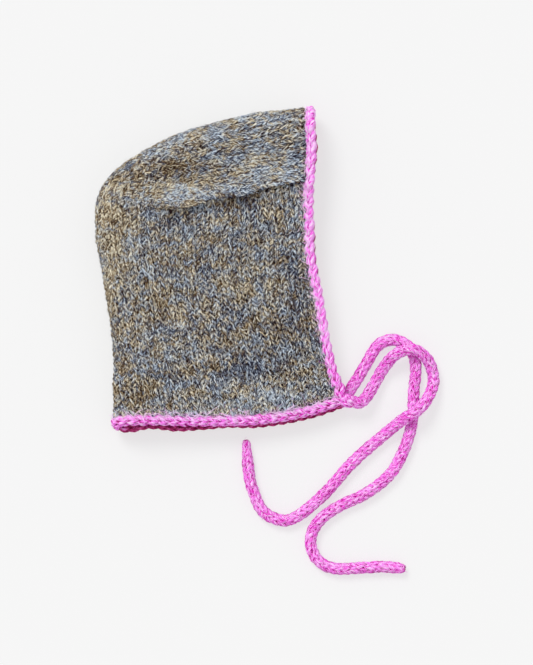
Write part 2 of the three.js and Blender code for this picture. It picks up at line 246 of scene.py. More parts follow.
def sideSlip(across, along):
    face = easedTable(faceSlip, along * form["joinOnFace"]) * (1 - across) ** 2
    neck = -easedTable(neckSlip, across) * (1 - along) ** 2
    return np.stack([face, neck, np.zeros_like(face)], -1)


def bandSlip(across, along):
    atJoin = easedTable(faceSlip, form["joinOnFace"] + 0 * along) * (1 - across) ** 2
    atFace = easedTable(faceSlip, form["joinOnFace"] + (1 - form["joinOnFace"]) * across)
    face = (atJoin + (atFace - atJoin) * along) * along**2
    return np.stack([face, np.zeros_like(face), np.zeros_like(face)], -1)


class Cloth:
    # the middle surface of one knitted layer: u runs from the near open edge over the fold to the
    # far one, v from the first row to the last, h out along the normal in millimetres
    def __init__(self, plan, ribLengths, slip, lines=121, flatSteps=46, foldSteps=22, columns=261):
        along = np.linspace(0, 1, lines)
        turn = np.linspace(0, math.pi / 2, foldSteps + 1)
        grid = []
        for share in along:
            rib = ribLengths[0] + (ribLengths[1] - ribLengths[0]) * share
            fold = form["foldReach"]
            inFlat = fold + (rib - fold) * (1 - np.arange(flatSteps) / flatSteps)
            inAll = np.concatenate([inFlat, fold * (1 - np.sin(turn))])
            turnAll = np.concatenate([np.zeros(flatSteps), turn])
            inWhole = np.concatenate([inAll, inAll[-2::-1]])
            turnWhole = np.concatenate([turnAll, math.pi - turnAll[-2::-1]])
            across = 1 - inWhole / rib
            row = share + 0 * across
            points = plan(across, row)
            half = loftAt(points) / 2
            farShare = (1 - np.cos(turnWhole)) / 2
            points[:, 2] = half + half * np.cos(turnWhole) + undersideAt(points) * farShare
            grid.append(points + slip(across, row) * farShare[:, None])
        outer = np.array(grid)
        normal = self.normalsOf(outer)
        middle = outer - normal * form["wall"] / 2
        even = []
        for points, out in zip(middle, normal):
            run = runOf(points)
            want = np.linspace(0, run[-1], columns)
            even.append((between(want, run, points), between(want, run, out)))
        self.middle, self.normal = (np.array(table) for table in zip(*even))
        self.normal, self.outer = unit(self.normal), outer

    @staticmethod
    def normalsOf(grid):
        alongRib = np.gradient(grid, axis=1)
        acrossRibs = np.gradient(grid, axis=0)
        return unit(-np.cross(alongRib, acrossRibs))

    def read(self, table, u, v):
        rows, columns = table.shape[:2]
        x, y = u * (columns - 1), v * (rows - 1)
        i = np.clip(np.floor(y).astype(int), 0, rows - 2)
        j = np.clip(np.floor(x).astype(int), 0, columns - 2)
        fx, fy = (x - j)[..., None], (y - i)[..., None]
        return (table[i, j] * (1 - fx) * (1 - fy) + table[i, j + 1] * fx * (1 - fy)
                + table[i + 1, j] * (1 - fx) * fy + table[i + 1, j + 1] * fx * fy)

    def at(self, u, v, h):
        normal = unit(self.read(self.normal, u, v))
        return self.read(self.middle, u, v) + normal * np.asarray(h)[..., None], normal


side = Cloth(sidePlan, (neckLine.length, sideJoin.length), sideSlip)
band = Cloth(bandPlan, (bandJoin.length * (1 - form["pivotOnJoin"]),
                        faceLine.length * (1 - bandOnFace)), bandSlip)
shift = np.array(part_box("side_back_wrap")[0]) / mm - side.outer.reshape(-1, 3).min(0)
lowest = form["clear"] - shift[2]
print("bonnet: folded form ready, shift", [round(float(x), 2) for x in shift])


def plain(table):
    return table.astype(np.float32).ravel()


def addMap(mesh, name, table):
    mesh.uv_layers.new(name=name).data.foreach_set("uv", plain(table))


def addValue(mesh, name, table):
    mesh.attributes.new(name, "FLOAT", "POINT").data.foreach_set("value", plain(table))


def meshFrom(name, verts, loops, counts, material):
    mesh = bpy.data.meshes.new(name)
    mesh.vertices.add(len(verts))
    mesh.vertices.foreach_set("co", plain((verts + shift) * mm))
    mesh.loops.add(len(loops))
    mesh.loops.foreach_set("vertex_index", loops.astype(np.int32))
    mesh.polygons.add(len(counts))
    starts = np.concatenate([[0], np.cumsum(counts)[:-1]])
    mesh.polygons.foreach_set("loop_start", starts.astype(np.int32))
    mesh.polygons.foreach_set("use_smooth", np.ones(len(counts), bool))
    mesh.update(calc_edges=True)
    mesh.materials.append(material)
    return mesh


def put(name, data, place=(0.0, 0.0, 0.0)):
    made = bpy.data.objects.new(name, data)
    made.location = place
    bpy.context.scene.collection.objects.link(made)
    return made


def show(name, mesh, node):
    made = put(name, mesh)
    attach(made, "root")
    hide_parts(node)
    return made


ringsToRow = 352  # rings of yarn laid side by side in one row of the bake map
bakeMargin = 0.04  # left free at the edge of such a row


class Tangle:
    # gathers lengths of yarn into one mesh: each is a closed tube with its own run of the yarn map,
    # rough in its girth and darkened along its flanks by painted shade in the crease
    def __init__(self, sides, seed, rough, creaseShade):
        self.sides, self.rough, self.creaseShade = sides, rough, creaseShade
        self.rng = np.random.default_rng(seed)
        self.strands = []

    def add(self, points, normals, wide, tall, sunkShade, seed):
        self.strands.append((points, normals, wide, tall, sunkShade, seed))

    def build(self, name, node, material, wool, field):
        sides = self.sides
        angle = 2 * math.pi * (np.arange(sides) + 0.5) / sides - math.pi / 2
        bakeRows = sum(-(-(len(strand[0]) - 1) // ringsToRow) for strand in self.strands)
        # painted shade: the tube's sides, down in the crease between strands, are darkened
        flankShade = self.creaseShade * (0.5 - 0.5 * np.sin(angle))
        allVerts, allQuads, allYarn, allBake, allSunkShade, caps = [], [], [], [], [], []
        base, rowBase = 0, 0
        j = np.arange(sides)[None, :]
        for points, normals, wide, tall, sunkShade, seed in self.strands:
            n = len(points)
            allSunkShade.append((sunkShade[:, None] + flankShade).ravel())
            tangent = unit(np.gradient(points, axis=0))
            across = unit(np.cross(tangent, normals))
            out = np.cross(across, tangent)
            lumps = self.rng.normal(0, self.rough, (n, sides))
            lumps = 1 + lumps + np.roll(lumps, 1, 0)
            ring = (points[:, None]
                    + across[:, None] * (lumps * np.cos(angle) * wide[:, None])[..., None]
                    + out[:, None] * (lumps * np.sin(angle) * tall[:, None])[..., None])
            ring[..., 2] = np.maximum(ring[..., 2], lowest)
            allVerts.append(ring.reshape(-1, 3))
            i = np.arange(n - 1)[:, None]
            after = (j + 1) % sides
            low, high = base + i * sides, base + (i + 1) * sides
            quad = np.stack([low + j, low + after, high + after, high + j], -1)
            allQuads.append(quad.reshape(-1, 4))
            run = runOf(points) + seed
            u = np.stack([run[:-1], run[:-1], run[1:], run[1:]], -1)[:, None, :]
            u = u + np.zeros((1, sides, 1))
            v = np.stack([j / sides, (j + 1) / sides, (j + 1) / sides, j / sides], -1)
            v = v + np.zeros((n - 1, 1, 1))
            allYarn.append(np.stack([u, v], -1).reshape(-1, 2))
            place = i % ringsToRow
            share = np.stack([place, place, place + 1, place + 1], -1) / ringsToRow
            share = share + np.zeros((1, sides, 1))
            row = rowBase + (i // ringsToRow)[..., None] + bakeMargin + (1 - 2 * bakeMargin) * v
            allBake.append(np.stack([share, row / bakeRows], -1).reshape(-1, 2))
            caps.append(np.arange(base + sides - 1, base - 1, -1))
            caps.append(np.arange(base + (n - 1) * sides, base + n * sides))
            base += n * sides
            rowBase += -(-(n - 1) // ringsToRow)
        quads, verts = np.vstack(allQuads), np.vstack(allVerts)
        loops = np.concatenate([quads.ravel()] + caps)
        counts = np.concatenate([np.full(len(quads), 4), np.full(len(caps), sides)])
        mesh = meshFrom(name, verts, loops, counts, material)
        spare = np.zeros((len(caps) * sides, 2))
        addMap(mesh, "yarn", np.vstack(allYarn + [spare]))
        addMap(mesh, "OFBake", np.vstack(allBake + [spare]))
        values = field(verts)
        # the painted shade of sunk loops and creases is added to the depth value
        values["depth"] = values["depth"] + np.concatenate(allSunkShade)
        for key, table in values.items():
            addValue(mesh, key, table)
        return show(name, mesh, node)


ribbonKnots = np.array([-1.0, -0.36, 0.32, 1.0])  # where a fibre bends, in half lengths
ribbonTaper = np.array([0.3, 1.0, 0.9, 0.25])  # how wide it is there


class Fluff:
    # loose fibres: flat tapered ribbons that follow the yarn for a while and stray from it
    def __init__(self, rng):
        self.rng = rng
        self.parts = []

    def add(self, rows, count, settings, where):
        rng, t = self.rng, ribbonKnots
        points, normals, wide, tall = (np.concatenate([row[k] for row in rows]) for k in range(4))
        ends = np.cumsum([len(row[0]) for row in rows])
        first = ends - [len(row[0]) for row in rows]
        middle = where(rng, rows, first, count)
        reach = rng.uniform(*settings["reach"], count)
        line = np.searchsorted(ends, middle, side="right")
        line = np.clip(line, 0, len(rows) - 1)
        place = middle[:, None] + t * reach[:, None]
        place = np.clip(place, first[line][:, None] + 0.01, ends[line][:, None] - 1.01)
        low = np.floor(place).astype(int)
        part = (place - low)[..., None]
        centre = points[low] * (1 - part) + points[low + 1] * part
        normal = unit(normals[low] * (1 - part) + normals[low + 1] * part)
        tangent = unit(points[low + 1] - points[low])
        across = unit(np.cross(tangent, normal))
        top = np.cross(across, tangent)
        lean = rng.uniform(-settings["spread"], settings["spread"], count)[:, None]
        drift = rng.normal(0, settings["drift"], (count, 3))
        lean = lean + drift[:, :1] * t
        proud = 1 + settings["proud"] * rng.random((count, 1))
        offset = (across * (np.sin(lean) * wide[low] * proud)[..., None]
                  + top * (np.cos(lean) * tall[low] * proud)[..., None])
        stray = np.where(rng.random((count, 1)) < settings["stray"], 1.0, 0.0)
        sway = rng.normal(0, settings["wander"], (count, 1))
        side = stray * sway * (t + 0.35 * t**2)
        drawn = stray * np.abs(sway) * (0.6 + 0.4 * t)
        lift = stray * np.abs(rng.normal(0, settings["lift"], (count, 1)))
        lift = lift * (0.5 + 0.5 * t * np.sign(drift[:, 1:2]))
        centre = centre + offset + across * side[..., None] + normal * lift[..., None]
        centre = centre + drawn[..., None] * np.array(settings["pull"])
        facing = unit(offset + normal * 0.6)
        run = unit(np.gradient(centre, axis=1))
        flat = unit(np.cross(run, facing))
        half = (rng.uniform(*settings["wide"], (count, 1)) * ribbonTaper)[..., None]
        ribbon = np.stack([centre - flat * half, centre + flat * half], 2)
        # fibres at the yarn's flanks are darkened by painted shade
        tone = rng.beta(*settings["tone"], count) * (1 - settings["fibreFlankShade"] * np.sin(lean[:, 1]) ** 2)
        self.parts.append((ribbon, tone))

    def build(self, name, node, material, wool, field):
        ribbon = np.concatenate([part[0] for part in self.parts])
        tone = np.concatenate([part[1] for part in self.parts])
        ribbon[..., 2] = np.maximum(ribbon[..., 2], lowest)
        count, knots = ribbon.shape[:2]
        verts = ribbon.reshape(-1, 3)
        k = np.arange(knots - 1)
        quad = np.stack([2 * k, 2 * k + 1, 2 * k + 3, 2 * k + 2], -1)
        quads = (quad[None] + (np.arange(count) * 2 * knots)[:, None, None]).reshape(-1, 4)
        mesh = meshFrom(name, verts, quads.ravel(), np.full(len(quads), 4), material)
        cells = math.ceil(math.sqrt(count))
        one = np.arange(count)
        x = (one % cells)[:, None] + 0.1 + 0.8 * k / (knots - 1)
        wider = 0.8 / (knots - 1)
        y = (one // cells)[:, None] + np.zeros((1, knots - 1))
        corners = [np.stack([x + a * wider, y + b], -1)
                   for a, b in ((0, 0.2), (0, 0.8), (1, 0.8), (1, 0.2))]
        addMap(mesh, "OFBake", np.stack(corners, 2).reshape(-1, 2) / cells)
        addValue(mesh, "tone", np.repeat(tone, 2 * knots))
        addValue(mesh, "hue", np.repeat(self.rng.random(count), 2 * knots))
        for key, table in field(verts).items():
            addValue(mesh, key, table)
        return show(name, mesh, node)


def waves(rng, count, reach):
    # a soft random field over u and v, about one deep
    terms = [(rng.normal(0, reach), rng.normal(0, reach), rng.uniform(0, 6.3))
             for _ in range(count)]
    return lambda u, v: sum(np.sin(a * u + b * v + c) for a, b, c in terms) * math.sqrt(2 / count)


loop = {
    "lean": 1.95,  # how far the legs of a stitch open towards its top
    "reach": 0.84,  # half the height of a loop, in rows
    "sink": 0.85,  # how far heads and feet lie behind the legs, mm
    "wide": 0.78,  # half width of the yarn, mm
    "tall": 0.86,  # half thickness of the yarn, mm
    # painted shade: the wool is darkened where its loops sink in, from shadeFrom on
    "shade": 1.8,  # how much darker the wool looks where it sinks in
    "shadeFrom": 0.6,
    "ends": 0.16,  # how much narrower heads and feet are
    "steps": 12,
    # how uneven the loops are: sideways, in height, in place, outwards and in thickness
    "uneven": (0.03, 0.07, 0.06, 0.14, 0.08),
    "drift": 0.25,  # how far whole columns wander, in stitches
    "wander": 0.2,  # and whole rows
    "swell": 0.15,  # low broad waves in the cloth, mm
    "waves": (9, 7.0),
    "past": 0.008,  # how far a row runs on past the open edges
    "yarnOfRow": (700.0, 13.7),  # where each row starts on the dyed yarn, mm
}


def loopPath(wales, settings, rng, loose=1.0):
    # one row of loops: x in stitches, y from foot to head, z out of the cloth, and its unevenness
    steps, lean = settings["steps"], settings["lean"]
    stitch = np.repeat(np.arange(wales), steps)
    turn = np.tile(2 * math.pi * (np.arange(steps) / steps - 0.5), wales)
    stitch = np.append(stitch, wales - 1)
    turn = np.append(turn, math.pi)
    x = stitch + 0.5 + turn / (2 * math.pi) + lean / (2 * math.pi) * np.sin(2 * turn)
    knots = np.arange(2 * wales + 2) / 2
    soft = lambda size: np.interp(x, knots, rng.normal(0, size * loose, len(knots)))
    return x, np.cos(turn), -np.cos(2 * turn), soft


def yarnSize(settings, z, size):
    # half width, half thickness and painted shade of the yarn, by how far its loops stand out: darker
    # where they sink in
    dips = 0.5 - 0.5 * z
    wide = settings["wide"] * size * (1 - settings["ends"] * dips)
    return wide, settings["tall"] * size, settings["shade"] * dips - settings["shadeFrom"]


def knitRows(cloth, settings, rng, relief):
    wales, courses = settings["wales"], settings["courses"]
    drift, wander, swell = (waves(rng, *settings["waves"]) for _ in range(3))
    sideways, height, place, outwards, thick = settings["uneven"]
    rows = []
    for course in range(courses):
        x, y, z, soft = loopPath(wales, settings, rng)
        u = (x + soft(sideways)) / wales
        v = course + 0.5 + settings["reach"] * y * (1 + soft(height)) + soft(place)
        v = v / courses
        u = u + settings["drift"] * drift(u, v) / wales
        v = v + settings["wander"] * wander(u, v) / courses
        u = -settings["past"] + (1 + 2 * settings["past"]) * u
        h = settings["sink"] * z + soft(outwards) + settings["swell"] * swell(3 * u, 3 * v)
        points, normals = cloth.at(u, v, h + relief(cloth, u, v))
        size = 1 + soft(thick) + 0.05 * swell(u, v)
        perRow, start = settings["yarnOfRow"]
        rows.append((points, normals, *yarnSize(settings, z, size), perRow * course + start))
    return rows


class Wire:
    # a socket that can be reckoned with: each operator adds its Math node
    def __init__(self, paint, socket):
        self.paint, self.socket = paint, socket

    def maths(self, operation, first, second):
        return self.paint.node("ShaderNodeMath", {"operation": operation}, {0: first, 1: second})

    def __add__(self, other):
        return self.maths("ADD", self, other)

    def __sub__(self, other):
        return self.maths("SUBTRACT", self, other)

    def __rsub__(self, other):
        return self.maths("SUBTRACT", other, self)

    def __mul__(self, other):
        return self.maths("MULTIPLY", self, other)

    __radd__, __rmul__ = __add__, __mul__

    def wave(self, operation):
        return self.paint.node("ShaderNodeMath", {"operation": operation}, {0: self})


def shade(red, green, blue):
    # a colour as a picture shows it, as the linear one that shaders take
    return tuple((c / 255 / 12.92) if c < 10.3 else ((c / 255 + 0.055) / 1.055) ** 2.4
                 for c in (red, green, blue)) + (1.0,)


class Paint:
    def __init__(self, name):
        self.material = bpy.data.materials.new(name)
        self.material.use_nodes = True
        self.tree = self.material.node_tree
        self.tree.nodes.clear()

    def node(self, kind, settings=(), values=(), out=0):
        made = self.tree.nodes.new(kind)
        for key, value in dict(settings).items():
            if key == "stops":
                while len(made.color_ramp.elements) < len(value):
                    made.color_ramp.elements.new(0.5)
                for element, (place, colour) in zip(made.color_ramp.elements, value):
                    element.position, element.color = place, colour
            else:
                setattr(made, key, value)
        for key, value in dict(values).items():
            if isinstance(value, Wire):
                self.tree.links.new(value.socket, made.inputs[key])
            else:
                made.inputs[key].default_value = value
        return Wire(self, made.outputs[out]) if len(made.outputs) else None

    def noise(self, vector, detail=2.0, rough=0.55):
        return self.node("ShaderNodeTexNoise", {"noise_dimensions": "3D"},
                         {"Vector": vector, "Scale": 1.0, "Detail": detail, "Roughness": rough})

    def ramp(self, value, stops):
        stops = [(place, shade(*colour)) for place, *colour in stops]
        return self.node("ShaderNodeValToRGB", {"stops": stops}, {"Fac": value})

    def blend(self, share, first, second):
        return self.node("ShaderNodeMix", {"data_type": "RGBA", "blend_type": "MIX"},
                         {0: share, 6: first, 7: second}, out=2)

    def finish(self, values):
        surface = self.node("ShaderNodeBsdfPrincipled", (), values)
        self.node("ShaderNodeOutputMaterial", (), {"Surface": surface})
        return self.material


# each tone has its place on a ramp, and red, green and blue as a picture shows them
heather = {
    "warm": [(0.22, 46, 30, 26), (0.38, 104, 77, 54), (0.5, 147, 122, 88),
             (0.63, 198, 180, 146), (0.8, 242, 234, 210)],
    "cool": [(0.22, 42, 34, 46), (0.38, 80, 83, 103), (0.5, 121, 133, 156),
             (0.63, 167, 184, 204), (0.8, 222, 233, 242)],
    "streakLength": 2.6,  # mm along the yarn
    "streaksRound": 15.0,
    "twist": 0.1,  # turns of the streaks per millimetre
    "contrast": 3.75,
    "light": 0.43,
    # how much the painted shade in the depth value darkens the wool
    "shadeDarkening": 0.15,
    "drift": 3.1,  # how far the broad patches go from ochre to blue
    "middle": 0.48,  # between ochre and blue
    "mix": 3.8,  # how far single streaks do
    "tufts": 1.7,  # how far small tufts of wool do
    "patch": (11.0, 9.0, 9.0),  # mm across, along and through the folded bonnet
    "tuft": (2.8, 2.0, 3.0),
    "tonePatch": (7.0, 5.0, 7.0),  # lighter and darker places
    "tonePatches": 0.25,
    "streaks": (3.0, 0.66),  # detail and roughness of their noise
    "flecks": (0.14, 0.5, 9.0),  # small flecks: along and round the yarn, and which part of the noise
    "fleckTone": 0.4,
    "dyes": (0.22, 0.7, 21.0),  # streaks of dye, in the same way
    "rough": 0.92,
    "sheen": 0.05,
    "fluffTone": (0.84, 0.06),
    "fluffPatches": 0.2,
    "fluffMix": 0.6,
    "fluffRough": 0.9,
}
pink = {
    "tones": [(0.2, 166, 14, 122), (0.34, 230, 64, 198), (0.47, 252, 120, 238),
              (0.62, 255, 170, 252), (0.82, 255, 222, 254)],
    # the same pinks in painted shade, for the far layer, the gaps between stitches and the cord's
    # core
    "deep": [(0.2, 142, 28, 84), (0.36, 196, 62, 124), (0.5, 210, 84, 150),
             (0.63, 222, 108, 186), (0.82, 238, 150, 214)],
    "streakLength": 3.2,
    "streaksRound": 8.0,
    "twist": 0.1,
    "contrast": 1.9,
    "patch": (5.0, 5.0, 5.0),
    "patches": 0.3,
    "streaks": (2.5, 0.6),
    # how much the painted shade in the depth value darkens the pink
    "shadeDarkening": 0.1,
    "rough": 0.85,
    "sheen": 0.03,
    "fluffTone": (0.5, 0.31),
    "fluffRough": 0.9,
}
strand = {
    "turn": 6.2832,  # once round the yarn, as an angle
    "plies": 12.566,  # and the same for two plies
    "fibres": (0.9, 12.0, 3.0),  # fine fibres: along and round the yarn, and which part of the noise
    "fibreHeight": 0.7,
    "streakHeight": 0.6,
    "plyHeight": 0.12,
    "strength": 0.8,
    "distance": 0.0005,
}


def value(paint, name):
    return paint.node("ShaderNodeAttribute", {"attribute_name": name}, out=2)


def vectorOf(paint, *values):
    return paint.node("ShaderNodeCombineXYZ", (), dict(enumerate(values)))


def patches(paint, reach, detail=2.5, rough=0.6):
    # broad drifts of tone over the whole bonnet, so that yarn and fluff change together
    place = paint.node("ShaderNodeTexCoord", (), out=3)
    scaled = paint.node("ShaderNodeVectorMath", {"operation": "MULTIPLY"},
                        {0: place, 1: tuple(1 / (step * mm) for step in reach)})
    return paint.noise(scaled, detail, rough)


def yarnCoordinates(paint, settings):
    place = paint.node("ShaderNodeUVMap", {"uv_map": "yarn"})
    u = paint.node("ShaderNodeSeparateXYZ", (), {0: place})
    v = Wire(paint, u.socket.node.outputs[1])
    turned = v + u * settings["twist"]
    across = (turned * strand["turn"]).wave("SINE")
    back = (turned * strand["turn"]).wave("COSINE")
    size = settings["streaksRound"] / strand["turn"]
    along = u * (1 / settings["streakLength"])
    return u, turned, vectorOf(paint, along, across * size, back * size)


def yarnPlace(paint, u, turned, reach):
    return vectorOf(paint, u * reach[0], turned * reach[1], reach[2])


def yarnBump(paint, u, turned, streak):
    # two plies wound round each other, with fine fibres over them
    ply = (turned * strand["plies"]).wave("SINE")
    fibres = paint.noise(yarnPlace(paint, u, turned, strand["fibres"]), 2.0)
    height = (fibres * strand["fibreHeight"] + streak * strand["streakHeight"]
              + ply * strand["plyHeight"])
    return paint.node("ShaderNodeBump", (), {"Strength": strand["strength"],
                                             "Distance": strand["distance"], "Height": height})


def heatherColour(paint, tone, hue):
    drift = (patches(paint, heather["patch"]) - 0.5) * heather["drift"] + heather["middle"]
    drift = drift - value(paint, "warmth")
    drift = drift + (patches(paint, heather["tuft"], 1.0) - 0.5) * heather["tufts"]
    return paint.blend(paint.node("ShaderNodeClamp", (), {0: drift + hue}),
                       paint.ramp(tone, heather["warm"]), paint.ramp(tone, heather["cool"]))


def woolSurface(paint, look, colour, rough, **more):
    return paint.finish({"Base Color": colour, "Roughness": look[rough],
                         "Specular IOR Level": look["sheen"], **more})


def heatherWool():
    paint = Paint("heatherWool")
    u, turned, where = yarnCoordinates(paint, heather)
    streak = paint.noise(where, *heather["streaks"])
    flecks = paint.noise(yarnPlace(paint, u, turned, heather["flecks"]), 1.0)
    dyes = paint.noise(yarnPlace(paint, u, turned, heather["dyes"]), 1.0)
    tone = (streak - 0.5) * heather["contrast"] + heather["light"]
    # painted shade: the depth value darkens the tone in sunk loops, creases and shaded drifts
    tone = tone - value(paint, "depth") * heather["shadeDarkening"]
    tone = tone + (patches(paint, heather["tonePatch"]) - 0.5) * heather["tonePatches"]
    tone = tone + (flecks - 0.5) * heather["fleckTone"]
    hue = (dyes - 0.5) * heather["mix"]
    return woolSurface(paint, heather, heatherColour(paint, tone, hue), "rough",
                       Normal=yarnBump(paint, u, turned, streak))


def heatherFluff():
    paint = Paint("heatherFluff")
    share, start = heather["fluffTone"]
    # painted shade from the depth value darkens the fibres too
    tone = value(paint, "tone") * share + start - value(paint, "depth") * heather["shadeDarkening"]
    tone = tone + (patches(paint, heather["tonePatch"]) - 0.5) * heather["fluffPatches"]
    hue = (value(paint, "hue") - 0.5) * heather["fluffMix"]
    return woolSurface(paint, heather, heatherColour(paint, tone, hue), "fluffRough")


def pinkColour(paint, tone):
    # painted shade: as the depth value grows the pink darkens and turns to the shaded ramp
    depth = value(paint, "depth")
    tone = tone - depth * pink["shadeDarkening"]
    return paint.blend(paint.node("ShaderNodeClamp", (), {0: depth}),
                       paint.ramp(tone, pink["tones"]), paint.ramp(tone, pink["deep"]))


def pinkWool():
    paint = Paint("pinkWool")
    u, turned, where = yarnCoordinates(paint, pink)
    streak = paint.noise(where, *pink["streaks"])
    tone = (streak - 0.5) * pink["contrast"] + 0.5
    tone = tone + (patches(paint, pink["patch"]) - 0.5) * pink["patches"]
    return woolSurface(paint, pink, pinkColour(paint, tone), "rough",
                       Normal=yarnBump(paint, u, turned, streak))


def pinkFluff():
    paint = Paint("pinkFluff")
    share, start = pink["fluffTone"]
    tone = value(paint, "tone") * share + start
    return woolSurface(paint, pink, pinkColour(paint, tone), "fluffRough")


heatherMaterial, heatherHair = heatherWool(), heatherFluff()
pinkMaterial, pinkHair = pinkWool(), pinkFluff()
print("bonnet: wool mixed")


# the knitted sides and crown
# a tube is the yarn's sides, its random seed, how rough it is and how dark the painted shade in its
# crease is
sideKnit = dict(loop, wales=50, courses=42, tube=(6, 1, 0.06, 2.2), farTube=(5, 2, 0.06, 2.2),
                hairs=26000, farHairs=8000, farStart=341.0)
bandKnit = dict(loop, wales=20, courses=41, lean=1.9, reach=1.02, wide=0.92, tall=0.95, shade=1.9,
                tube=(6, 3, 0.06, 2.6), hairs=10500, farHairs=4500)
# the crown swells beside its join, and the sides are tucked in under it, mm
ridgeKnit = {"swell": 1.8, "swellReach": 4.5, "tuck": 1.0, "tuckFrom": 2.5, "tuckReach": 4.0}
fluff = {
    "reach": (1.2, 3.4),  # half length, in steps along the yarn
    "spread": 0.95,  # how far round the yarn a fibre may lie
    "drift": 0.35,
    "proud": 0.15,
    "stray": 0.22,  # share of the fibres that leave the yarn
    "wander": 1.1,  # how far they do so sideways, mm
    "lift": 0.5,  # and outwards
    "pull": (0.0, 0.0, 0.0),  # which way stray fibres are drawn
    "wide": (0.08, 0.18),
    "tone": (0.65, 0.55),
    # painted shade on fibres that lie at the flanks of the yarn
    "fibreFlankShade": 0.35,  # how much darker fibres at the flanks of the yarn are
    "legSpread": 1.6,  # how closely fibres keep to the legs of a stitch
}


def bandRelief(cloth, u, v):
    away = nearest(joinSamples, cloth.read(cloth.middle, u, v))
    return ridgeKnit["swell"] * np.exp(-((away / ridgeKnit["swellReach"]) ** 2))


def sideRelief(cloth, u, v):
    away = nearest(joinSamples, cloth.read(cloth.middle, u, v)) - ridgeKnit["tuckFrom"]
    return -ridgeKnit["tuck"] * np.exp(-((away / ridgeKnit["tuckReach"]) ** 2))


# deep, high, reach across, reach along, darker, warmer: how the dye's colour drifts over the bonnet,
# and its lighter and darker places, partly painted highlight and painted shade, such as the lit top
# of the crown join and the shadow below it
toneAndShadeDrifts = [
    (0.34, 0.745, 0.14, 0.032, -1.1, -0.05), (0.7, 0.82, 0.14, 0.045, -0.5, -0.3),
    (0.57, 0.71, 0.1, 0.024, 1.5, 0.1), (0.33, 0.655, 0.08, 0.024, 0.8, 0.12),
    (0.32, 0.805, 0.17, 0.036, 1.2, 0.45), (0.5, 0.93, 0.14, 0.03, -0.3, -0.12),
    (0.81, 0.87, 0.05, 0.09, 0.3, -0.15), (0.08, 0.45, 0.08, 0.24, -0.1, 0.45),
    (0.26, 0.38, 0.1, 0.04, 0.15, 0.25), (0.67, 0.59, 0.14, 0.06, 0.0, -0.28),
    (0.8, 0.44, 0.06, 0.16, 0.6, -0.1), (0.62, 0.2, 0.11, 0.04, 0.9, -0.25),
    (0.78, 0.3, 0.1, 0.08, 0.35, -0.2), (0.66, 0.12, 0.14, 0.035, -0.8, -0.42),
    (0.16, 0.12, 0.09, 0.045, 0.4, 0.4), (0.33, 0.19, 0.08, 0.035, 0.4, -0.14),
    (0.56, 0.455, 0.16, 0.035, -0.35, 0.25), (0.14, 0.7, 0.09, 0.06, 0.0, 0.3),
    (0.04, 0.68, 0.06, 0.1, -0.5, 0.3), (0.58, 0.88, 0.06, 0.03, 0.4, 0.0),
    (0.64, 0.965, 0.09, 0.02, -0.8, 0.0), (0.1, 0.56, 0.08, 0.1, -0.6, 0.1),
    (0.165, 0.845, 0.03, 0.025, -0.8, 0.1), (0.4, 0.056, 0.7, 0.014, -1.7, -0.1),
    (0.8, 0.56, 0.04, 0.05, 0.4, 0.0), (0.17, 0.62, 0.04, 0.03, -0.35, 0.0),
    (0.66, 0.34, 0.09, 0.06, 0.35, 0.1), (0.57, 0.26, 0.06, 0.07, 0.4, 0.05),
    (0.78, 0.1, 0.08, 0.03, -0.4, -0.1), (0.3, 0.11, 0.08, 0.03, -0.25, 0.05),
]
crownTone = {"paler": 0.2, "slope": 0.05, "from": 0.68, "to": 0.76}


def heatherField(verts):
    # warmth is the drift of the dye's colour; depth darkens or lightens the wool with the drifts,
    # partly painted shade and painted highlight, and makes the crown paler towards its top
    deep, high = shares(verts)
    warmth, depth = np.zeros(len(verts)), np.zeros(len(verts))
    for x, y, wideX, wideY, darker, warmer in toneAndShadeDrifts:
        near = np.exp(-(((deep - x) / wideX) ** 2) - ((high - y) / wideY) ** 2)
        warmth += warmer * near
        depth += darker * near
    depth -= crownTone["paler"] * ease(high - crownTone["slope"] * deep,
                                       crownTone["from"], crownTone["to"])
    return {"warmth": warmth, "depth": depth}


def onLegs(rng, rows, first, count):
    row = rng.integers(0, len(rows), count)
    stitches = (len(rows[0][0]) - 1) // loop["steps"]
    stitch = rng.integers(0, stitches, count)
    leg = loop["steps"] * rng.choice([0.25, 0.75], count) + rng.normal(0, fluff["legSpread"], count)
    last = first[-1] + len(rows[-1][0]) - 2
    return np.clip(first[row] + stitch * loop["steps"] + leg, 1, last)


def cut(rows, part, further=0.0):
    # a stretch of every row, and how much further on it begins on the dyed yarn
    return [(*(table[part] for table in row[:5]), row[5] + further) for row in rows]


def knitPieces():
    rng = np.random.default_rng(11)
    near, far = Tangle(*sideKnit["tube"]), Tangle(*sideKnit["farTube"])
    crown = Tangle(*bandKnit["tube"])
    half = sideKnit["wales"] // 2 * loop["steps"]
    sideRows = knitRows(side, sideKnit, rng, sideRelief)
    bandRows = knitRows(band, bandKnit, rng, bandRelief)
    nearRows = cut(sideRows, slice(half + 1))
    farRows = cut(sideRows, slice(half, None), sideKnit["farStart"])
    for tangle, rows in ((near, nearRows), (far, farRows), (crown, bandRows)):
        for row in rows:
            tangle.add(*row)
    made = [tangle.build(name, node, heatherMaterial, "heather_wool", heatherField)
            for tangle, name, node in ((near, "knit_side_near", "side_back_wrap"),
                                       (far, "knit_side_far", "side_back_wrap"),
                                       (crown, "knit_crown", "crown_band"))]
    middle = bandKnit["wales"] // 2 * loop["steps"]
    bandNear, bandFar = cut(bandRows, slice(middle + 1)), cut(bandRows, slice(middle, None))
    for name, node, parts in (
            ("fluff_side_near", "side_back_wrap", [(nearRows, sideKnit["hairs"])]),
            ("fluff_side_far", "side_back_wrap", [(farRows, sideKnit["farHairs"])]),
            ("fluff_crown", "crown_band", [(bandNear, bandKnit["hairs"]),
                                           (bandFar, bandKnit["farHairs"])])):
        hair = Fluff(rng)
        for rows, count in parts:
            hair.add(rows, count, fluff, onLegs)
        made.append(hair.build(name, node, heatherHair, "heather_wool", heatherField))
    return made


print("bonnet: knit", [len(piece.data.polygons) for piece in knitPieces()])


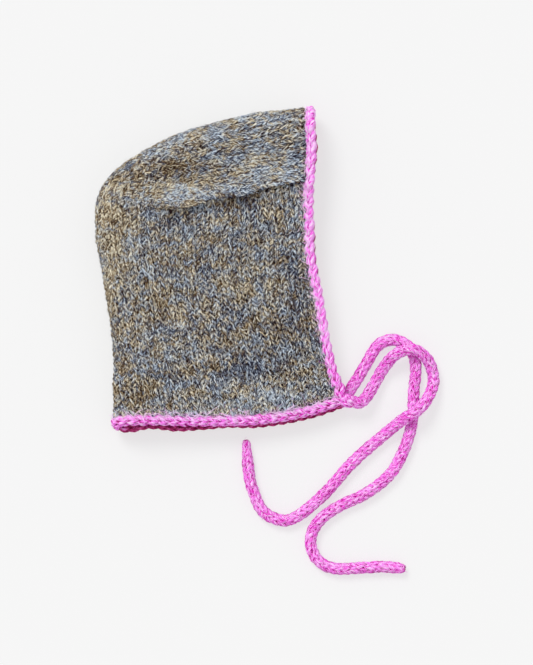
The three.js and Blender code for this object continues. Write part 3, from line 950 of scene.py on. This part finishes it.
# the knitted cords
edgingKnit = {
    "wales": 3,
    "stitchLength": 5.0,
    "lean": 1.95,
    "reach": 0.72,
    "middle": 1.25,  # radius to the middle of the yarn, mm
    "sink": 0.8,
    "wide": 1.08,
    "tall": 0.75,
    "ends": 0.5,  # how thin the yarn gets where it dips in
    # painted shade: the yarn is darkened where it dips in between stitches
    "shade": 1.7,
    "shadeFrom": 0.0,
    "steps": 16,
    "loose": 0.35,  # how unevenly it is knitted
    "uneven": (0.06, 0.03, 0.07),  # along, round the cord, and in thickness
    "turn": 0.0,  # how far the stitches swing round the cord
    "tucked": 0.0,  # how much of the start lies over another cord, mm
    "tip": 2.6,  # how much of a bare end is rounded, mm
    "core": 1.15,
    "sides": 7,
    "rough": 0.04,
    # how dark the painted shade in the crease along the yarn's flanks is
    "creaseShade": 0.6,
    "yarnStart": 37.0,
    "coreStart": 4000.0,
    "hairs": 1500,
}
faceKnit = dict(edgingKnit, stitchLength=5.6, sink=0.62, ends=0.42, tucked=11.0)
tieKnit = dict(edgingKnit, wales=4, stitchLength=3.7, lean=1.7, middle=1.85, sink=0.28,
               wide=0.92, ends=0.2, shade=0.6, steps=12, loose=0.9, turn=0.5, core=1.7,
               creaseShade=0.3, hairs=3600)
cordFluff = dict(fluff, wide=(0.08, 0.19), stray=0.25, wander=0.7, lift=0.25, tone=(1.2, 0.8))
haze = dict(cordFluff, wide=(0.08, 0.16), stray=0.8, wander=1.2, lift=0.4, tone=(8.0, 0.6),
            rootSpread=0.22)
swing = {"length": 61.0, "start": 0.7}  # mm for one swing of a tie's stitches, and its phase


def nextToKnit(stitch):
    # fibres rooted where a cord's round of stitches lies beside the knit
    def chosen(rng, rows, first, count):
        steps, wales = edgingKnit["steps"], edgingKnit["wales"]
        rounds = (len(rows[0][0]) - 1) // (steps * wales)
        spot = rng.integers(1, rounds - 1, count) * wales + stitch
        return (spot + rng.normal(0, haze["rootSpread"], count)) * steps

    return chosen


class CordLine:
    # a cord's centreline with the way its front column faces
    def __init__(self, points, facing, turn):
        line = SmoothLine(points, 24)
        self.length = line.length
        steps = np.linspace(0, 1, max(60, int(line.length)))
        self.run = steps * line.length
        self.points = line.at(steps)
        self.tangent = unit(np.gradient(self.points, axis=0))
        along = runOf(np.array(points))
        along = along / along[-1]
        face = between(steps, along, np.array(facing))
        face = unit(face - self.tangent * (face * self.tangent).sum(-1, keepdims=True))
        across = np.cross(self.tangent, face)
        swung = turn * np.sin(2 * math.pi * self.run / swing["length"] + swing["start"])
        self.face = face * np.cos(swung)[:, None] + across * np.sin(swung)[:, None]
        self.across = np.cross(self.tangent, self.face)

    def at(self, s, angle, radius):
        middle, face, across = (between(s, self.run, table)
                                for table in (self.points, self.face, self.across))
        out = unit(face * np.cos(angle)[:, None] + across * np.sin(angle)[:, None])
        return middle + out * np.asarray(radius)[:, None], out

    def core(self, radius):
        points = self.points[1:-1:2]
        size = np.full(len(points), radius)
        size[0] = size[-1] = radius * 0.5
        # the core is wholly in painted shade, so that it shows dark between the stitches
        return points, self.face[1:-1:2], size, size, np.full(len(points), 1.0)


def cordStitches(line, settings, rng, thickness, bareEnd):
    along, around, thick = settings["uneven"]
    rows = int(round(line.length / settings["stitchLength"]))
    pitch = line.length / rows
    stitches = rows * settings["wales"]
    x, y, z, soft = loopPath(stitches, settings, rng, settings["loose"])
    s = x / settings["wales"] + settings["reach"] * y * (1 + soft(along)) + soft(along)
    s = np.clip(pitch * s, 0.2, line.length - 0.2)
    angle = 2 * math.pi * (x + soft(around) - 0.5) / settings["wales"]
    scale = np.ones_like(s)
    if bareEnd:  # narrower towards the bare end, and round at the tip
        taper, narrow = bareEnd
        left = line.length - s
        tip = np.clip(left / settings["tip"], 0, 1)
        scale = narrow + (1 - narrow) * ease(left / taper, 0, 1)
        scale = scale * (0.3 + 0.7 * np.sqrt(1 - (1 - tip) ** 2))
    tucked = settings["tucked"]
    if tucked:  # its start laps over another cord: it thins out there and is looser after it
        scale = scale * (0.5 + 0.5 * ease(s, 0, tucked))
        scale = scale * (1 + 0.25 * np.exp(-(((s - 1.2 * tucked) / 6) ** 2)))
    big = thickness / (2 * (settings["middle"] + settings["sink"] + settings["tall"]))
    radius = (settings["middle"] + settings["sink"] * z + soft(thick)) * scale * big
    points, out = line.at(s, angle, radius)
    size = (1 + soft(thick)) * (0.7 + 0.3 * scale) * big
    return points, out, *yarnSize(settings, z, size), settings["yarnStart"]


def edgingMiddles(edge, outward):
    tangent = unit(np.gradient(edge, axis=0))
    away = unit(outward - tangent * (tangent @ outward)[:, None])
    return edge + away * (form["edging"] / 2 + form["gap"])


def alongFace(sides, crown):
    # up the near front edge, over the crown and down the far edge
    return np.vstack([sides[::5, 0], crown[-1, 6:-6:6], sides[::-5, -1]])


# small steps that settle the cords against each other and the knit, mm
fitting = {
    "neckLap": 0.7,  # the near layer of the neck edging laps over the knit
    "neckHeights": (4.0, 9.0),  # and does so between these heights
    "faceOut": (0.9, 0.8, 0.3),
    "faceRun": ((7.8, -4.1, -1.6), (4.7, -4.4, -0.4), (1.6, -2.8, 0.3)),  # laps over the near tie
    "straight": (0.45, 0.8),  # how far the ties run on straight, in their thickness
    "nearTie": ((0.0, -0.5), (0.4, -1.0), (0.3, -0.5)),
    "farTie": ((-0.5, 0.0), (-1.6, 0.5), (-2.4, 0.3), (-2.0, 0.1), (-0.7, 0.0)),
}
facePath = edgingMiddles(alongFace(side.middle, band.middle), np.array([1.0, 0, 0]))
faceFacing = alongFace(side.normal, band.normal)
neckPath = edgingMiddles(side.middle[0, ::5], np.array([0, -1.0, 0]))
neckPath[:, 1] += fitting["neckLap"] * ease(neckPath[:, 2], *fitting["neckHeights"])
flatUnit = lambda v: unit(v * np.array([1.0, 1.0, 0.0]))
onward = [flatUnit(neckPath[0] - neckPath[1]), flatUnit(neckPath[-1] - neckPath[-2])]
corner = [end + way * form["cornerLap"] for end, way in zip((neckPath[0], neckPath[-1]), onward)]
facePath[:3, 0] += fitting["faceOut"]
faceRun = [facePath[0] + np.array(step) for step in fitting["faceRun"]]
facePath = np.vstack(faceRun + [facePath])
faceFacing = np.vstack([faceFacing[:1]] * len(faceRun) + [faceFacing])
neckPath = np.vstack([corner[0], neckPath, corner[1]])
neckFacing = side.normal[0, ::5]
neckFacing = np.vstack([neckFacing[:1], neckFacing, neckFacing[-1:]])


def tiePath(route, end, way, straight):
    leaving = [end + way * step for step in (form["gap"], form["tie"] * straight)]
    return np.vstack(leaving + [
        (deep * form["deep"], high * form["high"], (*height, 0.5)[0] * form["tie"])
        for deep, high, *height in route])


nearTie = tiePath(nearTieRoute, corner[0], onward[0], fitting["straight"][0])
farTie = tiePath(farTieRoute, corner[1], onward[1], fitting["straight"][1])
nearTie[1:4, :2] += np.array(fitting["nearTie"])
farTie[:5, :2] += np.array(fitting["farTie"])
upwards = np.array([[0.0, 0.0, 1.0]])


layers = {
    "near": (5.2, 8.2),  # the near layer begins between these heights, mm
    # painted highlight: the near layer is paler at the front corner, and more so towards the crown
    "paler": (0.6, 0.9),  # how pale it is at the corner, and how much more so at the crown
    "palerFrom": (24.0, 60.0),
    # painted shade low down on the front corner
    "corner": 0.5,  # how much darker the front corner is low down
    "cornerLow": (8.0, 12.0),
    "cornerReach": (14.0, 24.0),
}


def layeredPinkShade(verts):
    # painted shade: the far layer of the edgings is darkened as in the shade of the near one, and so
    # is the front corner low down;
    # the near layer gets a painted highlight, paler at the corner and more so towards the crown
    up, out = verts[:, 1], verts[:, 2]
    paler = layers["paler"][0] + layers["paler"][1] * ease(up, *layers["palerFrom"])
    lowCornerShade = (1.0 - ease(out, *layers["cornerLow"])) * (1.0 - ease(up, *layers["cornerReach"]))
    return {"depth": 1.0 - ease(out, *layers["near"]) * (1.0 + paler) + layers["corner"] * lowCornerShade}


def tiePinkShade(verts):
    # painted shade: the ties are darker low down by the floor and paler on top
    return {"depth": 0.1 - 0.2 * ease(verts[:, 2], 1.0, 6.0)}


def anywhere(rng, rows, first, count):
    return rng.uniform(2, len(rows[0][0]) - 3, count)


tieFull = form["tie"] + 0.5  # the fuzzy yarn stands a little proud
# where each cord runs, how thick it is, how long and how narrow its bare end gets, and its haze:
# how many fibres, beside which stitch of a round, and which way they are drawn
cordRoutes = (
    ("cord_face", "face_edging", facePath, faceFacing, faceKnit, form["edging"],
     None, layeredPinkShade, (700, 3.0, (-1.5, 0.0, 0.3))),
    ("cord_neck", "neck_edging", neckPath, neckFacing, edgingKnit, form["edging"],
     None, layeredPinkShade, (1300, 1.0, (0.0, 1.9, 0.3))),
    ("cord_tie_near", "tie_near", nearTie, upwards.repeat(len(nearTie), 0), tieKnit, tieFull,
     (14.0, 0.66), tiePinkShade, None),
    ("cord_tie_far", "tie_far", farTie, upwards.repeat(len(farTie), 0), tieKnit, tieFull,
     (6.0, 0.85), tiePinkShade, None),
)


def cordPieces():
    rng = np.random.default_rng(23)
    for name, node, path, facing, settings, thick, bareEnd, field, inward in cordRoutes:
        line = CordLine(path, facing, settings["turn"])
        yarn = cordStitches(line, settings, rng, thick, bareEnd)
        tangle = Tangle(settings["sides"], len(name), settings["rough"], settings["creaseShade"])
        tangle.add(*yarn)
        tangle.add(*line.core(settings["core"]), settings["coreStart"])
        piece = tangle.build(name, node, pinkMaterial, "pink_wool", field)
        hair = Fluff(rng)
        hair.add([yarn], settings["hairs"], cordFluff, anywhere)
        if inward:
            hair.add([yarn], inward[0], dict(haze, pull=inward[2]), nextToKnit(inward[1]))
        hairPiece = hair.build(name.replace("cord", "fluff"), node, pinkHair, "pink_wool", field)
        if bareEnd:
            route = (line.points + shift) * mm
        print("bonnet:", name, len(piece.data.polygons), len(hairPiece.data.polygons),
              round(line.length, 1))


cordPieces()


# the stage
studio = {
    "picture": (0.02325, -0.0315),  # middle of the photograph's view on the surface
    "height": 1.847,
    "lens": 200.0,
    "level": 0.009,  # the camera's height is counted from here
    "floor": shade(144, 144, 144),
    "floorHalf": 3.0,
    "floorBelow": 0.0002,
    "floorGlow": 0.625,  # a light table, so that the shadows stay faint
    "sky": 0.68,
    "key": 1.65,
    "keyFrom": (-0.55, 0.85, 1.15),
    "keyAngle": 24.0,
}


def cameraAndStage():
    camera = bpy.data.cameras.new("camera")
    camera.lens, camera.sensor_width, camera.sensor_fit = studio["lens"], 36.0, "AUTO"
    above = (*studio["picture"], studio["height"] + studio["level"])
    bpy.context.scene.camera = put("camera", camera, above)
    mesh = bpy.data.meshes.new("floor")
    half, below = studio["floorHalf"], studio["floorBelow"]
    mesh.from_pydata([(x * half, y * half, -below) for x, y in ((-1, -1), (1, -1), (1, 1), (-1, 1))],
                     [], [(0, 1, 2, 3)])
    mesh.materials.append(Paint("paleFloor").finish({
        "Base Color": studio["floor"], "Roughness": 0.9, "Specular IOR Level": 0.0,
        "Emission Color": (1, 1, 1, 1), "Emission Strength": studio["floorGlow"]}))
    floor = put("floor", mesh)
    world = bpy.data.worlds.new("softSky")
    world.use_nodes = True
    sky = world.node_tree.nodes["Background"]
    sky.inputs[0].default_value = (1, 1, 1, 1)
    sky.inputs[1].default_value = studio["sky"]
    bpy.context.scene.world = world
    lamp = bpy.data.lights.new("window", "SUN")
    lamp.energy, lamp.angle = studio["key"], math.radians(studio["keyAngle"])
    window = put("window", lamp, studio["keyFrom"])
    window.rotation_euler = (-Vector(studio["keyFrom"])).to_track_quat("-Z", "Y").to_euler()
    bpy.context.scene.view_settings.view_transform = "Standard"


cameraAndStage()
print("bonnet: stage set")
